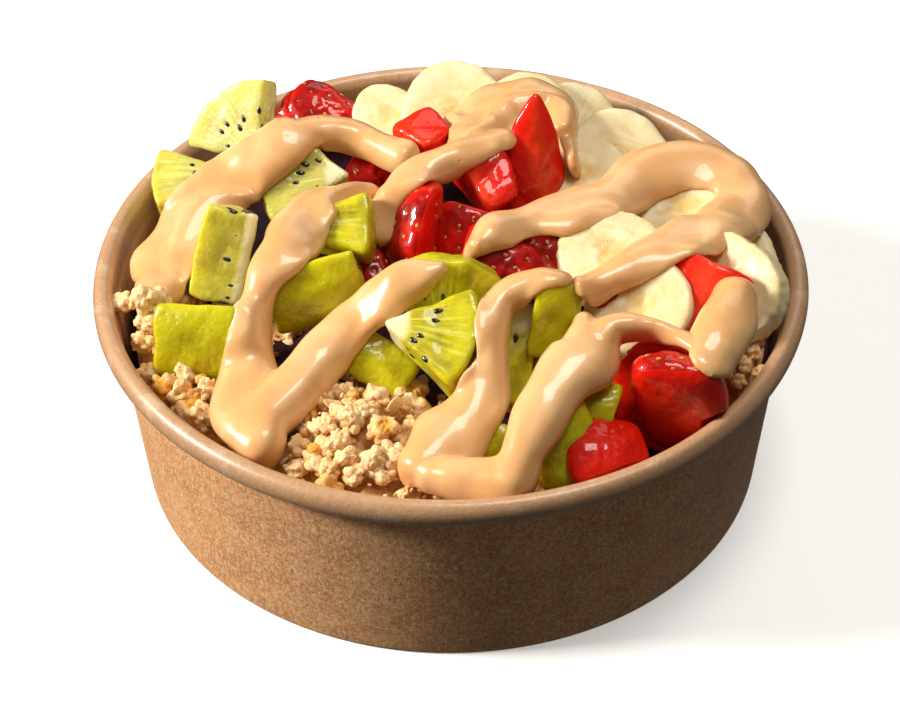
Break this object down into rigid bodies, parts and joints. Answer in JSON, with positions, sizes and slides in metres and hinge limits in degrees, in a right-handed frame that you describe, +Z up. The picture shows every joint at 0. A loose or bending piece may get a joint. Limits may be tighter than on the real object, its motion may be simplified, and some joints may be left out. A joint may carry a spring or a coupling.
{
  "type": "acai bowl",
  "caption": "Round kraft paper bowl filled with acai puree and heaped with cut kiwi, strawberry and banana, granola and poured nut butter.",
  "frame": {"origin": "centre of the bowl's foot, on the surface it stands on", "axes": "+Z up; +Y away from the viewer, towards the banana slices at the back; +X to the viewer's right"},
  "size_m": [0.15, 0.15, 0.0729],
  "materials": {
    "kraft_paper": "brown kraft paper, faintly glossy, fibrous",
    "acai_puree": "thick dark purple fruit puree, moist",
    "oat_granola": "toasted oat clusters, rough and dry",
    "kiwi_flesh": "wet green kiwi flesh",
    "strawberry_flesh": "wet red strawberry",
    "banana_flesh": "soft pale banana",
    "nut_butter": "smooth glossy runny nut butter"
  },
  "bodies": {
    "root": {"bowl_wall": "kraft_paper", "bowl_bottom": "kraft_paper", "acai_puree": "acai_puree", "granola_front": "oat_granola", "granola_right": "oat_granola", "kiwi_back_slice": "kiwi_flesh", "kiwi_left_chunk": "kiwi_flesh", "kiwi_upper_wedge": "kiwi_flesh", "kiwi_left_slice": "kiwi_flesh", "kiwi_middle_block": "kiwi_flesh", "kiwi_skin_block": "kiwi_flesh", "kiwi_left_cheek": "kiwi_flesh", "kiwi_rear_slab": "kiwi_flesh", "kiwi_front_wedge": "kiwi_flesh", "kiwi_small_bit": "kiwi_flesh", "kiwi_centre_wedge": "kiwi_flesh", "kiwi_green_slab": "kiwi_flesh", "kiwi_right_chunk": "kiwi_flesh", "kiwi_front_slab": "kiwi_flesh", "kiwi_front_bit": "kiwi_flesh", "strawberry_back": "strawberry_flesh", "strawberry_back_left": "strawberry_flesh", "strawberry_cube": "strawberry_flesh", "strawberry_dark_cheek": "strawberry_flesh", "strawberry_two_faced": "strawberry_flesh", "strawberry_peak": "strawberry_flesh", "strawberry_tall": "strawberry_flesh", "strawberry_middle": "strawberry_flesh", "strawberry_seeded": "strawberry_flesh", "strawberry_small": "strawberry_flesh", "strawberry_sliver": "strawberry_flesh", "strawberry_right": "strawberry_flesh", "strawberry_right_knob": "strawberry_flesh", "strawberry_dull": "strawberry_flesh", "strawberry_front_right": "strawberry_flesh", "strawberry_front": "strawberry_flesh", "banana_back_left": "banana_flesh", "banana_back_rim": "banana_flesh", "banana_back": "banana_flesh", "banana_back_right": "banana_flesh", "banana_inner": "banana_flesh", "banana_outer": "banana_flesh", "banana_loop": "banana_flesh", "banana_centre": "banana_flesh", "banana_right": "banana_flesh", "banana_front": "banana_flesh", "banana_standing": "banana_flesh", "sauce_left_lobe": "nut_butter", "sauce_left_rope": "nut_butter", "sauce_middle": "nut_butter", "sauce_loop": "nut_butter", "sauce_front": "nut_butter", "sauce_drop": "nut_butter"}
  },
  "joints": []
}
